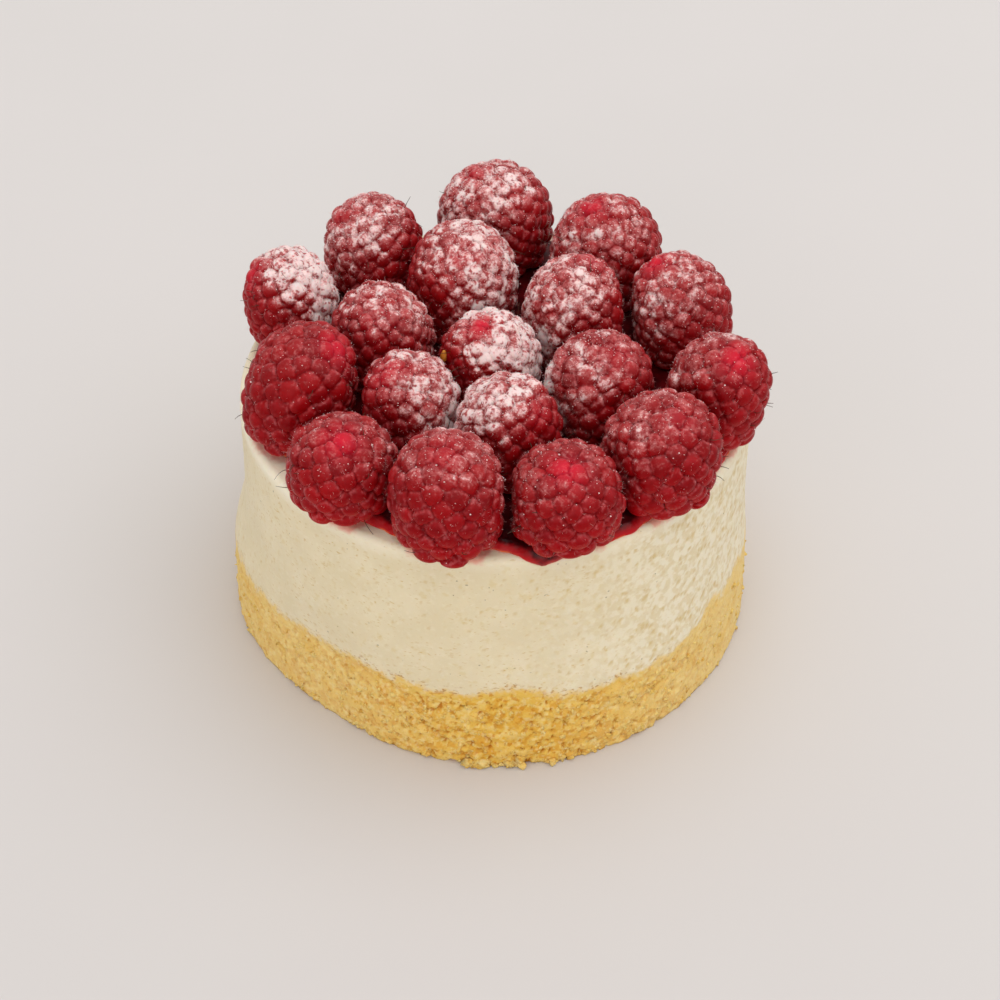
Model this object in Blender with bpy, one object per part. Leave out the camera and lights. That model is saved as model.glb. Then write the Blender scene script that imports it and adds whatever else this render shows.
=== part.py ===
"""A small round raspberry cheesecake, made in an 80 mm ring.

A crumb base, a layer of set cream and a thin layer of jam carry eighteen whole raspberries, which
stand on their open ends: one in the middle, six round it and eleven at the rim. Metres, +Z up, with
the origin at the middle of the underside and the front at -Y.
"""

import math
from collections import namedtuple

import bmesh
import bpy
import numpy as np
from mathutils import Vector, noise

MM = 0.001

# Driving sizes of the cake
CAKE_RADIUS = 40.0 * MM
BASE_HEIGHT = 14.2 * MM
CREAM_TOP = 44.0 * MM
JAM_THICKNESS = 0.9 * MM
JAM_REACH = 37.4 * MM
GAP = 0.3 * MM
JAM_BOTTOM = CREAM_TOP + GAP
JAM_TOP = JAM_BOTTOM + JAM_THICKNESS
BERRY_SEAT = JAM_TOP + GAP

# The outline is uneven. Each swell is an angle and a half-width in degrees, and a rise.
Swell = namedtuple("Swell", "angle spread rise")
OUTLINE_SWELLS = (
    Swell(180, 24, 2.2 * MM),
    Swell(-133, 18, -1.2 * MM),
    Swell(-72, 28, 0.6 * MM),
    Swell(0, 30, 0.5 * MM),
    Swell(95, 35, 0.7 * MM),
)
OUTLINE_FULL_BELOW = 13.0 * MM
OUTLINE_GONE_ABOVE = 25.0 * MM

# Where the crumb base stands higher or lower at the side
BASE_SWELLS = (
    Swell(-168, 15, -1.8 * MM),
    Swell(-126, 13, 1.1 * MM),
    Swell(-87, 6, 1.1 * MM),
    Swell(-69, 6, -1.2 * MM),
    Swell(-50, 10, -0.9 * MM),
    Swell(-33, 5, 3.6 * MM),
    Swell(-18, 5, 2.0 * MM),
    Swell(35, 16, -1.3 * MM),
    Swell(78, 9, 1.5 * MM),
    Swell(120, 12, -1.0 * MM),
)
JAM_SWELLS = (
    Swell(-155, 20, -0.9 * MM),
    Swell(-112, 8, 0.5 * MM),
    Swell(-93, 6, -0.4 * MM),
    Swell(-79, 7, 2.1 * MM),
    Swell(-60, 13, 1.8 * MM),
    Swell(-28, 16, 1.9 * MM),
    Swell(40, 20, 0.9 * MM),
    Swell(80, 12, -0.8 * MM),
    Swell(118, 18, 0.7 * MM),
)

# The crumb base's crags
SIDE_STEPS = 108
CRAG_ROWS = 7
CRAG_DEPTH = 1.0 * MM
CRAG_SIZE = 2.6 * MM
CRAG_DRIFT = 0.28
BASE_EDGE = 0.6 * MM
INNER_RING = 0.88

# The cream's side and rounded shoulder
CREAM_ROWS = 3
CREAM_WAVE = 0.14 * MM
CREAM_WAVE_SIZE = 9.0 * MM
SHOULDER = 1.1 * MM
SHOULDER_STEPS = 2

# Raspberries. Angle and reach place the seat, in degrees and mm from the middle of the cake. Width
# is half the berry's width and height its height, in mm. The tip leans by lean degrees to towards.
Berry = namedtuple("Berry", "angle reach width height towards lean")
MIDDLE_BERRY = (Berry(-103, 3.5, 8.3, 15.6, -90, 6),)
INNER_BERRIES = (
    Berry(28, 13.6, 8.6, 17.4, 30, 3),
    Berry(110, 14.8, 9.0, 18.0, 90, 2),
    Berry(175, 17.2, 8.4, 15.8, 180, 3),
    Berry(-132, 18.7, 7.9, 15.6, -150, 4),
    Berry(-85, 20.1, 8.3, 16.8, -80, 4),
    Berry(-34, 18.8, 8.8, 16.4, -45, 3),
)
RIM_BERRIES = (
    Berry(15, 30.4, 8.6, 16.2, 150, 5),
    Berry(52, 28.3, 9.2, 16.4, 60, 3),
    Berry(90, 31.8, 9.5, 16.6, -90, 3),
    Berry(129, 30.4, 8.2, 15.6, 120, 4),
    Berry(161, 33.5, 7.7, 15.6, 170, 4),
    Berry(-159, 32.8, 8.9, 18.1, 20, 9),
    Berry(-130, 35.4, 8.5, 15.4, -90, 9),
    Berry(-101, 35.7, 9.0, 18.6, -100, 5),
    Berry(-73, 35.3, 8.7, 15.7, -85, 9),
    Berry(-46, 35.1, 9.1, 17.3, -45, 5),
    Berry(-20, 34.7, 8.1, 18.3, -40, 9),
)
BERRIES = MIDDLE_BERRY + INNER_BERRIES + RIM_BERRIES

# A raspberry is a thimble of drupelets: narrower at the open end, widest at its belly, round at the tip
BELLY = 0.38
OPEN_END = 0.84
TIP_POWER = 2.3
DRUPELET = 3.5 * MM
CREST_RISE = 0.2 * MM
FURROW_DEPTH = 0.5 * MM
DRUPELET_JITTER = 0.16
GOLDEN_ANGLE = math.pi * (3 - math.sqrt(5))
UNDERSIDE_POINTS = 7
UNDERSIDE_REACH = 0.45
UNDERSIDE_EDGE = 0.35 * MM
BERRY_CLEARANCE = 0.17 * MM

CRUMB_COLOUR = (216, 170, 84)
CREAM_COLOUR = (224, 209, 174)
JAM_COLOUR = (120, 14, 20)
RASPBERRY_COLOUR = (150, 26, 36)


def linear(channel):
    """A colour channel of 0 to 255 as the linear value that a material takes."""
    share = channel / 255
    return share / 12.92 if share <= 0.04045 else ((share + 0.055) / 1.055) ** 2.4


def material(name, colour, roughness):
    made = bpy.data.materials.new(name)
    made.use_nodes = True
    shader = made.node_tree.nodes["Principled BSDF"]
    shader.inputs["Base Color"].default_value = (*map(linear, colour), 1)
    shader.inputs["Roughness"].default_value = roughness
    shader.inputs["Metallic"].default_value = 0
    return made


def add_solid(name, mesh, finish):
    mesh.materials.append(finish)
    mesh.shade_smooth()
    made = bpy.data.objects.new(name, mesh)
    bpy.context.scene.collection.objects.link(made)
    return made


def smoothstep(low, high, value):
    share = min(max((value - low) / (high - low), 0), 1)
    return share * share * (3 - 2 * share)


def swelling(swells, angle):
    """The sum of the swells at an angle in degrees."""
    total = 0
    for swell in swells:
        turn = (angle - swell.angle + 180) % 360 - 180
        total += swell.rise * math.exp(-((turn / swell.spread) ** 2))
    return total


def side_radius(angle, height):
    """The cake's radius, with the low swells that fade out up the side."""
    share = 1 - smoothstep(OUTLINE_FULL_BELOW, OUTLINE_GONE_ABOVE, height)
    return CAKE_RADIUS + swelling(OUTLINE_SWELLS, angle) * share


def base_height(angle):
    return BASE_HEIGHT + swelling(BASE_SWELLS, angle)


def at(angle, radius, height):
    turn = math.radians(angle)
    return Vector((radius * math.cos(turn), radius * math.sin(turn), height))


def cream_point(angle, height):
    wave = noise.noise(at(angle, CAKE_RADIUS, height) / CREAM_WAVE_SIZE)
    return at(angle, side_radius(angle, height) + CREAM_WAVE * wave, height)


def crag_point(angle, height):
    """A point of the crumbly side: pushed in or out, and drifted along the side."""
    place = at(angle, CAKE_RADIUS, height) / CRAG_SIZE
    crag = noise.fractal(place, 0.8, 2.0, 2)
    drift = CRAG_DRIFT * 360 / SIDE_STEPS * noise.noise(place * 1.7 + Vector((9, 4, 2)))
    return at(angle + drift, side_radius(angle, height) + CRAG_DEPTH * crag, height)


ANGLES = [360 * step / SIDE_STEPS - 180 for step in range(SIDE_STEPS)]


def solid_from_rings(name, rings, slants, finish):
    """A closed solid from rings of points, lowest first, with a flat face inside the first and the last.

    slants says for each band of faces which diagonal splits it, so that two solids that meet can be
    split alike."""
    bm = bmesh.new()
    rows = [[bm.verts.new(point) for point in ring] for ring in rings]
    bm.faces.new(reversed(rows[0]))
    bm.faces.new(rows[-1])
    for lower, upper, slant in zip(rows, rows[1:], slants):
        for step in range(len(lower)):
            after = (step + 1) % len(lower)
            near, far, far_up, near_up = lower[step], lower[after], upper[after], upper[step]
            if slant:
                bm.faces.new((near, far, far_up))
                bm.faces.new((near, far_up, near_up))
            else:
                bm.faces.new((near, far, near_up))
                bm.faces.new((far, far_up, near_up))
    mesh = bpy.data.meshes.new(name)
    bm.to_mesh(mesh)
    bm.free()
    return add_solid(name, mesh, finish)


def inner_ring(height):
    return [at(angle, CAKE_RADIUS * INNER_RING, height) for angle in ANGLES]


def make_crumb_base():
    """The base: a flat underside, a crumbly side and a top that the cream's underside follows."""
    rings = [[crag_point(angle, 0) - at(angle, BASE_EDGE, 0) for angle in ANGLES]]
    for row in range(1, CRAG_ROWS + 1):
        share = (row - 0.4) / (CRAG_ROWS + 0.1)
        rings.append([crag_point(angle, base_height(angle) * share) for angle in ANGLES])
    rings.append([cream_point(angle, base_height(angle)) for angle in ANGLES])
    rings.append(inner_ring(BASE_HEIGHT))
    slants = [row % 2 == 0 for row in range(CRAG_ROWS + 1)] + [True]
    return solid_from_rings("crumb_base", rings, slants, material("crumb", CRUMB_COLOUR, 0.9))


def make_cream():
    """The set cream, from its uneven underside to a flat top with a rounded shoulder."""
    rings = [inner_ring(BASE_HEIGHT + GAP)]
    rings.append([cream_point(angle, base_height(angle)) + Vector((0, 0, GAP)) for angle in ANGLES])
    shoulder_start = CREAM_TOP - SHOULDER
    for row in range(1, CREAM_ROWS + 1):
        ring = []
        for angle in ANGLES:
            foot = base_height(angle) + GAP
            ring.append(cream_point(angle, foot + (shoulder_start - foot) * row / CREAM_ROWS))
        rings.append(ring)
    for row in range(1, SHOULDER_STEPS + 1):
        turn = math.pi / 2 * row / SHOULDER_STEPS
        drawn_in = SHOULDER * (1 - math.cos(turn))
        height = shoulder_start + SHOULDER * math.sin(turn)
        ring = [cream_point(angle, shoulder_start) - at(angle, drawn_in, 0) for angle in ANGLES]
        rings.append([Vector((point.x, point.y, height)) for point in ring])
    slants = [False] + [True] * (CREAM_ROWS + SHOULDER_STEPS)
    return solid_from_rings("cream_layer", rings, slants, material("cream", CREAM_COLOUR, 0.55))


def make_jam():
    """The thin layer of jam on the cream, which stops a little inside the rim."""
    edge = (
        (0.5 * JAM_THICKNESS, JAM_BOTTOM),
        (0, JAM_BOTTOM + 0.45 * JAM_THICKNESS),
        (1.1 * JAM_THICKNESS, JAM_TOP),
    )
    rings = []
    for drawn_in, height in edge:
        rings.append([
            at(angle, JAM_REACH + swelling(JAM_SWELLS, angle) - drawn_in, height)
            for angle in ANGLES[::2]
        ])
    return solid_from_rings("jam_layer", rings, [True, True], material("jam", JAM_COLOUR, 0.2))


def thimble(share):
    """The berry's radius at a share of its height, as a share of its half-width."""
    if share > BELLY:
        return math.sqrt(max(0, 1 - ((share - BELLY) / (1 - BELLY)) ** TIP_POWER))
    return 1 - (1 - OPEN_END) * ((BELLY - share) / BELLY) ** 2


def seat_of(berry):
    return at(berry.angle, berry.reach * MM, BERRY_SEAT)


def axis_point(berry, share):
    """A point on the berry's leaning axis."""
    height = berry.height * MM * share
    sway = height * math.tan(math.radians(berry.lean))
    return seat_of(berry) + at(berry.towards, sway, height)


def drupelet_places(berry, draw):
    """Share of height and turn of every drupelet, spread evenly over the thimble by a golden-angle
    spiral from the open end to the tip."""
    shares = np.linspace(0, 1, 200)
    radii = np.array([thimble(share) * berry.width for share in shares])
    slopes = np.hypot(np.diff(radii), np.diff(shares) * berry.height)
    belts = 2 * math.pi * (radii[1:] + radii[:-1]) / 2 * slopes
    area = np.concatenate([[0], np.cumsum(belts)])
    count = round(area[-1] * MM * MM / (DRUPELET**2 * math.sqrt(3) / 2))
    places = []
    for index in range(count):
        reached = (index + 0.5) / count * area[-1]
        wobble = DRUPELET_JITTER * draw.standard_normal(2)
        share = float(np.interp(reached, area, shares))
        share += wobble[0] * DRUPELET / (berry.height * MM) / 2
        radius = max(thimble(min(max(share, 0), 1)) * berry.width * MM, DRUPELET)
        turn = index * GOLDEN_ANGLE + wobble[1] * DRUPELET / radius / 2
        places.append((min(max(share, 0.02), 0.985), turn))
    return places


def thimble_point(berry, share, turn):
    return axis_point(berry, share) + at(math.degrees(turn), thimble(share) * berry.width * MM, 0)


def walls_round(index):
    """The upright planes that keep a berry off its neighbours, as a normal and a distance."""
    own = BERRIES[index]
    centre = axis_point(own, BELLY)
    walls = []
    for other_index, other in enumerate(BERRIES):
        across = axis_point(other, BELLY) - centre
        across.z = 0
        if other_index == index or across.length > 3 * own.width * MM:
            continue
        spare = (own.width**2 - other.width**2) * MM * MM
        shared = (across.length + spare / across.length) / 2
        normal = across.normalized()
        walls.append((normal, normal.dot(centre) + shared - BERRY_CLEARANCE))
    return walls


def kept_clear(berry, walls, point):
    """The point drawn in towards the berry's axis until it is inside every wall."""
    share = min(max((point.z - BERRY_SEAT) / (berry.height * MM), 0), 1)
    axis = axis_point(berry, share)
    out = point - axis
    out.z = 0
    for normal, distance in walls:
        reach = normal.dot(out)
        room = distance - normal.dot(axis)
        if reach > room > 0:
            out *= room / reach
    return Vector((axis.x + out.x, axis.y + out.y, max(point.z, BERRY_SEAT)))


def hull_of(directions):
    """The triangles that join points spread over a ball."""
    bm = bmesh.new()
    for index, direction in enumerate(directions):
        bm.verts.new(direction.normalized()).index = index
    bmesh.ops.convex_hull(bm, input=list(bm.verts))
    bmesh.ops.triangulate(bm, faces=list(bm.faces))
    bmesh.ops.recalc_face_normals(bm, faces=list(bm.faces))
    triangles = [tuple(vert.index for vert in face.verts) for face in bm.faces]
    bm.free()
    return triangles


def make_raspberry(index, finish):
    """One berry: each drupelet is a cell with a raised middle, and its corners lie in the furrows."""
    berry = BERRIES[index]
    places = drupelet_places(berry, np.random.default_rng(index))
    heart = axis_point(berry, BELLY)
    crests = []
    for share, turn in places:
        crest = thimble_point(berry, share, turn)
        crests.append(crest + (crest - heart).normalized() * CREST_RISE)
    for step in range(UNDERSIDE_POINTS):
        turn = 360 * step / UNDERSIDE_POINTS
        crests.append(seat_of(berry) + at(turn, berry.width * MM * UNDERSIDE_REACH, 0))
    crests.append(seat_of(berry))
    triangles = hull_of([crest - heart for crest in crests])

    walls = walls_round(index)
    bm = bmesh.new()
    tops = [bm.verts.new(kept_clear(berry, walls, crest)) for crest in crests]
    furrows = []
    for corners in triangles:
        middle = sum((crests[corner] for corner in corners), Vector()) / 3
        if middle.z > BERRY_SEAT + UNDERSIDE_EDGE:
            middle -= (middle - heart).normalized() * FURROW_DEPTH
        furrows.append(bm.verts.new(kept_clear(berry, walls, middle)))
    beside = {}
    for face_index, corners in enumerate(triangles):
        for start, end in zip(corners, corners[1:] + corners[:1]):
            beside[start, end] = face_index
    for (start, end), face_index in beside.items():
        bm.faces.new((tops[start], furrows[beside[end, start]], furrows[face_index]))
    bmesh.ops.recalc_face_normals(bm, faces=list(bm.faces))
    name = f"raspberry_{index + 1:02d}"
    mesh = bpy.data.meshes.new(name)
    bm.to_mesh(mesh)
    bm.free()
    return add_solid(name, mesh, finish)


def main():
    for old in list(bpy.data.objects):
        bpy.data.objects.remove(old)
    make_crumb_base()
    make_cream()
    make_jam()
    for index in range(len(BERRIES)):
        make_raspberry(index, material(f"raspberry_{index + 1:02d}", RASPBERRY_COLOUR, 0.35))


main()
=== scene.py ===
"""The looks of a small round raspberry cheesecake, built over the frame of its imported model.

The base, the cream, the jam and the raspberries have the solids' outlines and finer relief. Shapes
are worked out in millimetres and turned to metres when a mesh is made. The front is at -Y.
"""

import math
from collections import namedtuple

import bmesh
import bpy
import numpy as np
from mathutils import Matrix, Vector, noise


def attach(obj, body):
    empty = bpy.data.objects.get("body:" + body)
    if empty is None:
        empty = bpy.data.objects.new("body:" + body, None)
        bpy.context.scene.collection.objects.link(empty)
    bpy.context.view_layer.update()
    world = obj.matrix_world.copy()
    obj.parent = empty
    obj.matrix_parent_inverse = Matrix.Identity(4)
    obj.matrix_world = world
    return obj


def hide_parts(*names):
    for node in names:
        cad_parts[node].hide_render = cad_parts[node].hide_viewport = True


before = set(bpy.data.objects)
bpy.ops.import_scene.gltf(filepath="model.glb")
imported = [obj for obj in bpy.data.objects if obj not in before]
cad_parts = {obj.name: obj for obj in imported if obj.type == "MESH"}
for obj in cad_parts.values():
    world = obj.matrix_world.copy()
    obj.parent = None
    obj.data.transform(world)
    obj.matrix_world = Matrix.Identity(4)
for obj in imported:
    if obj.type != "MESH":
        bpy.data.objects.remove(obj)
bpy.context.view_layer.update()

MM = 0.001

# The cake's sizes in mm, as the solids have them
CAKE_RADIUS = 40.0
BASE_HEIGHT = 14.2
CREAM_TOP = 44.0
JAM_REACH = 37.4
BERRY_SEAT = 45.5
SHOULDER = 1.1


def table(kind, *rows):
    """Rows of values as records of one kind."""
    return tuple(kind(*row) for row in rows)


# The outline is uneven. Each swell is an angle and a half-width in degrees, and a rise in mm.
Swell = namedtuple("Swell", "angle spread rise")
OUTLINE_SWELLS = table(
    Swell,
    (180, 24, 2.2), (-133, 18, -1.2), (-72, 28, 0.6), (0, 30, 0.5), (95, 35, 0.7),
)
OUTLINE_FULL_BELOW = 13.0
OUTLINE_GONE_ABOVE = 25.0
BASE_SWELLS = table(
    Swell,
    (-168, 15, -1.8), (-126, 13, 1.1), (-87, 6, 1.1), (-69, 6, -1.2), (-50, 10, -0.9),
    (-33, 5, 3.6), (-18, 5, 2.0), (35, 16, -1.3), (78, 9, 1.5), (120, 12, -1.0),
)
JAM_SWELLS = table(
    Swell,
    (-155, 20, -0.9), (-112, 8, 0.5), (-93, 6, -0.4), (-79, 7, 2.1), (-60, 13, 1.8),
    (-28, 16, 1.9), (40, 20, 0.9), (80, 12, -0.8), (118, 18, 0.7),
)

# Angle and reach place a berry's seat, in degrees and mm. Width is half the berry's width. The tip
# leans by lean degrees to towards.
Berry = namedtuple("Berry", "angle reach width height towards lean")
BERRIES = table(
    Berry,
    (-103, 3.5, 8.3, 15.6, -90, 6),
    (28, 13.6, 8.6, 17.4, 30, 3),
    (110, 14.8, 9.0, 18.0, 90, 2),
    (175, 17.2, 8.4, 15.8, 180, 3),
    (-132, 18.7, 7.9, 15.6, -150, 4),
    (-85, 20.1, 8.3, 16.8, -80, 4),
    (-34, 18.8, 8.8, 16.4, -45, 3),
    (15, 30.4, 8.6, 16.2, 150, 5),
    (52, 28.3, 9.2, 16.4, 60, 3),
    (90, 31.8, 9.5, 16.6, -90, 3),
    (129, 30.4, 8.2, 15.6, 120, 4),
    (161, 33.5, 7.7, 15.6, 170, 4),
    (-159, 32.8, 8.9, 18.1, 20, 9),
    (-130, 35.4, 8.5, 15.4, -90, 9),
    (-101, 35.7, 9.0, 18.6, -100, 5),
    (-73, 35.3, 8.7, 15.7, -85, 9),
    (-46, 35.1, 9.1, 17.3, -45, 5),
    (-20, 34.7, 8.1, 18.3, -40, 9),
)
BELLY = 0.38
OPEN_END = 0.84
TIP_POWER = 2.3
DRUPELET = 3.5
DRUPELET_JITTER = 0.16
GOLDEN_ANGLE = math.pi * (3 - math.sqrt(5))

# How each berry is dusted and coloured, in the same order. Cover is the share of sugar on what
# faces up, and side the direction in degrees whose flank has more. Tip light is the strength of a
# patch of painted light near the tip, a brighter crimson, at a turn in degrees and a distance in mm
# from the tip. Fine is the size of its drupelets, as a share of the usual one.
Coat = namedtuple("Coat", "cover side blush turn off fine")
COATS = table(
    Coat,
    (1.00, -10, 1.0, 200, 1.5, 0.76),
    (0.66, 200, 0.5, 40, 3.0, 0.76),
    (0.76, -30, 0.3, -90, 5.0, 0.76),
    (0.58, 50, 0.2, -90, 4.0, 0.76),
    (0.64, -10, 0.7, -150, 3.0, 0.86),
    (0.76, 160, 0.3, -30, 6.0, 0.86),
    (0.46, 190, 0.3, -30, 3.0, 0.86),
    (0.53, 200, 0.9, 160, 3.5, 0.76),
    (0.50, 215, 0.8, 180, 2.5, 0.76),
    (0.66, 200, 0.4, 160, 4.0, 0.76),
    (0.63, 175, 0.3, 180, 5.0, 0.76),
    (1.00, 20, 0.8, -170, 6.5, 0.76),
    (0.18, 60, 0.8, -20, 4.5, 0.9),
    (0.28, 60, 1.0, -90, 2.0, 0.95),
    (0.38, 60, 0.3, -90, 1.5, 0.95),
    (0.27, 140, 1.0, -90, 2.0, 0.95),
    (0.34, 150, 0.3, -60, 3.0, 0.95),
    (0.40, 150, 1.0, -60, 3.0, 0.95),
)

# Thick sugar on a flank: a berry, a turn in degrees, a share of its height and a reach in mm
Drift = namedtuple("Drift", "berry turn share reach")
DRIFTS = table(
    Drift,
    (1, -110, 0.30, 1.8), (1, -40, 0.45, 2.4), (2, -125, 0.35, 2.0), (3, -70, 0.45, 1.6),
    (5, -25, 0.45, 2.2), (5, -65, 0.30, 1.6), (5, 15, 0.70, 2.2), (6, 165, 0.60, 2.2),
    (7, 185, 0.55, 2.6), (7, 215, 0.35, 1.8), (12, -45, 0.45, 2.4), (12, -10, 0.80, 2.6),
)


# How far each seed moves a material's noise, in m
NOISE_SHIFT = (0.011, 0.007, 0.013)


class Value:
    """A shader value. Sums, differences and products of it are written as in Python."""

    def __init__(self, finish, socket):
        self.finish = finish
        self.socket = socket

    def math(self, operation, *values, clamp=False):
        settings = {"operation": operation, "use_clamp": clamp}
        return self.finish.node("ShaderNodeMath", settings, dict(enumerate(values)))

    def __add__(self, other):
        return self.math("ADD", self, other)

    __radd__ = __add__

    def __sub__(self, other):
        return self.math("SUBTRACT", self, other)

    def __rsub__(self, other):
        return self.math("SUBTRACT", other, self)

    def __mul__(self, other):
        return self.math("MULTIPLY", self, other)

    __rmul__ = __mul__

    def clamped(self):
        return self.math("ADD", self, 0.0, clamp=True)

    def step(self, low, high):
        """0 below low, 1 above high and smooth between them."""
        settings = {"interpolation_type": "SMOOTHSTEP"}
        return self.finish.node("ShaderNodeMapRange", settings, {0: self, 1: low, 2: high})


class Finish:
    """A material: a Principled shader, whose constants are set on its own sockets."""

    def __init__(self, name, **constants):
        self.material = bpy.data.materials.new(name)
        self.material.use_nodes = True
        self.tree = self.material.node_tree
        self.shader = self.tree.nodes["Principled BSDF"]
        self.place = self.node("ShaderNodeTexCoord", {}, {}, "Object")
        self.dress(**constants)

    def feed(self, socket, value):
        if isinstance(value, Value):
            self.tree.links.new(value.socket, socket)
        else:
            socket.default_value = value

    def node(self, kind, settings, inputs, output=0):
        """A node of any kind: its settings first, then the values or links of its sockets."""
        made = self.tree.nodes.new(kind)
        for name, value in settings.items():
            setattr(made, name, value)
        for key, value in inputs.items():
            self.feed(made.inputs[key], value)
        return Value(self, made.outputs[output])

    def mark(self, name):
        """A value that the mesh carries at its points."""
        return self.node("ShaderNodeAttribute", {"attribute_name": name}, {}, "Fac")

    def mix(self, share, first, second):
        return self.node("ShaderNodeMix", {"data_type": "RGBA"}, {0: share, 6: first, 7: second}, 2)

    def layered(self, body, *layers):
        """A colour with others laid over it, each a share and then red, green and blue as seen."""
        for share, *seen in layers:
            body = self.mix(share, body, colour(*seen))
        return body

    def moved(self, operation, amounts, place=None):
        """The place, with each axis shifted or scaled."""
        settings = {"operation": operation}
        return self.node("ShaderNodeVectorMath", settings, {0: place or self.place, 1: amounts})

    def noise(self, size, detail=2.0, place=None, seed=0.0):
        """Noise of 0 to 1 with lumps of the given size in mm."""
        place = self.moved("ADD", tuple(shift * seed for shift in NOISE_SHIFT), place)
        inputs = {"Vector": place, "Scale": 1 / (size * MM), "Detail": detail}
        return self.node("ShaderNodeTexNoise", {}, inputs)

    def bump(self, height, depth):
        """A normal for a height of 0 to 1, whose full depth is given in mm."""
        inputs = {"Height": height, "Distance": depth * MM}
        return self.node("ShaderNodeBump", {}, inputs)

    def dress(self, **values):
        """Sets or feeds the shader's sockets, by their names in lower case."""
        for name, value in values.items():
            words = name.replace("_", " ").title().replace("Ior", "IOR")
            self.feed(self.shader.inputs[words], value)
        return self.material


def soft_inside(weight, radius, scale):
    """Settings of a shader for light that goes in and comes out, with the scale in mm."""
    return dict(subsurface_weight=weight, subsurface_radius=radius, subsurface_scale=scale * MM)


def colour(red, green, blue):
    """A colour seen in the photo, of 0 to 255, as the linear one that a material takes."""
    shares = [channel / 255 for channel in (red, green, blue)]
    return (*(s / 12.92 if s <= 0.04045 else ((s + 0.055) / 1.055) ** 2.4 for s in shares), 1)


def raspberry_finish():
    """Moist red flesh: pale edges round the drupelets and pale pink on their upper sides, both
    painted highlights; a pale haze on their tops, partly a bloom of sugar dust and partly a
    painted highlight; darker furrows, which are painted shade; a patch of painted light at some
    tips and a brighter red painted where the skin faces down; and sugar where the mesh says, in
    clumps with small pits, some of its white specks standing for painted glints."""
    inside = soft_inside(0.5, (1.0, 0.1, 0.08), 1.6)
    finish = Finish("raspberry_flesh", specular_ior_level=0.06, **inside)
    furrow = finish.mark("furrow")
    facing_up = finish.mark("up")
    dust = finish.mark("dust")
    mottle = finish.noise(1.6)
    patch = finish.noise(2.6, 1.0, seed=2.0)
    clumps = finish.noise(0.9, seed=4.0)
    grit = finish.noise(0.28, 1.0)
    pits = finish.noise(0.75, 1.0, seed=11.0).step(0.52, 0.70)

    tone = (finish.mark("tone") * 0.5 + mottle * 0.8 - 0.2).clamped()
    # painted highlight: pale pink on the upper side of each drupelet
    sheen = finish.mark("sheen") * patch.step(0.3, 0.7) * 0.26
    # painted highlight: pale lines along the drupelets' upper edges
    rims = finish.mark("rim") * clumps.step(0.38, 0.62) * 0.4
    # pale haze on the drupelets' tops: partly a bloom of sugar dust, partly a painted highlight
    bloom_and_highlight = facing_up.step(-0.1, 0.9) * (dust * 0.35 + mottle * 0.09) * (1 - furrow)
    amount = dust * 1.1 + (patch - 0.5) * 1.5 * dust.step(0.0, 0.4)
    amount = amount + (clumps - 0.5) * 1.2 + (grit - 0.5) * 0.6
    bare = 1 - pits * 0.9
    sugar = amount.step(0.48, 1.05) * bare * 0.88
    # scattered white specks: partly sugar grains, partly painted glints
    specks_and_glints = (grit + dust * 0.12 + facing_up * 0.05).step(0.79, 0.85) * patch.step(0.4, 0.6) * 0.55
    cover = sugar.math("MAXIMUM", sugar, specks_and_glints)
    skin = finish.layered(
        finish.mix(tone, colour(112, 2, 8), colour(160, 10, 17)),
        # painted light: skin that faces down is painted a brighter red
        (facing_up.step(0.2, -0.6) * 0.7, 172, 4, 12),
        # painted light: a brighter crimson patch near the tip
        (finish.mark("blush") * (0.7 + clumps * 0.5), 202, 16, 48),
        # painted shade: darker red in the furrows between the drupelets
        (furrow.step(0.3, 0.9) * 0.4, 98, 2, 8),
        (sheen, 204, 58, 68),
        (rims, 214, 112, 116),
        (bloom_and_highlight, 200, 108, 108),
        (amount.step(0.1, 0.75) * bare * 0.5, 214, 142, 140),
        (cover, 243, 224, 221),
    )
    return finish.dress(
        base_color=skin,
        roughness=0.26 + cover * 0.45 + mottle * 0.12,
        normal=finish.bump(grit, 0.05),
    )


def sugar_finish():
    """Grains of sugar, a few of them tinted by juice."""
    finish = Finish("sugar_grains", **soft_inside(0.3, (1.0, 0.8, 0.8), 0.3))
    grain = finish.noise(0.5, 1.0)
    white = finish.mix(grain, colour(222, 176, 174), colour(250, 234, 232))
    return finish.dress(base_color=white, roughness=0.5 + grain * 0.3)


def cream_look(finish):
    """Colour of the cream: even at the left, paler, mottled and pitted at the right. Painted light
    makes it paler near its top. The pink beside the jam and the berries is juice from them, and
    under the berries also a painted red glow.
    """
    rough = finish.mark("rough")
    cloud = finish.noise(7.0, 3.0)
    mottle = finish.noise(0.9)
    curd = finish.noise(1.3, seed=2.0)
    flat = finish.moved("MULTIPLY", (1.0, 1.0, 2.4))
    dash = finish.noise(0.9, place=flat, seed=3.0).step(0.61, 0.73)
    dash = dash * cloud.step(0.3, 0.55) * (1 - rough * 0.75)
    smudge = finish.noise(1.4, seed=6.0).step(0.60, 0.72)
    grey = finish.noise(0.6, 0.0, seed=12.0).step(0.85, 0.87)
    # ochre dashes, and the pores painted darker the deeper they are
    dashes_and_pores = dash * 0.8 + finish.mark("pore") * 0.6
    # pink juice from the jam and the berries, and under the berries also a painted red glow
    pink = (finish.mark("stained") + (mottle - 0.5) * 0.9).step(0.35, 1.1)
    return finish.layered(
        finish.mix(cloud.step(0.3, 0.7), colour(224, 209, 174), colour(230, 216, 183)),
        (curd.step(0.42, 0.58) * rough * 0.7, 240, 231, 207),
        (curd.step(0.5, 0.36) * rough * 0.28, 220, 200, 156),
        (mottle.step(0.5, 0.75) * 0.3, 238, 228, 204),
        (smudge * 0.5, 219, 198, 146),
        (dashes_and_pores.clamped(), 206, 176, 112),
        (grey * 0.6, 132, 118, 92),
        # painted light: paler cream near the top
        (finish.mark("high") * 0.8, 243, 235, 214),
        (pink * 0.7, 226, 130, 114),
    )


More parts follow.
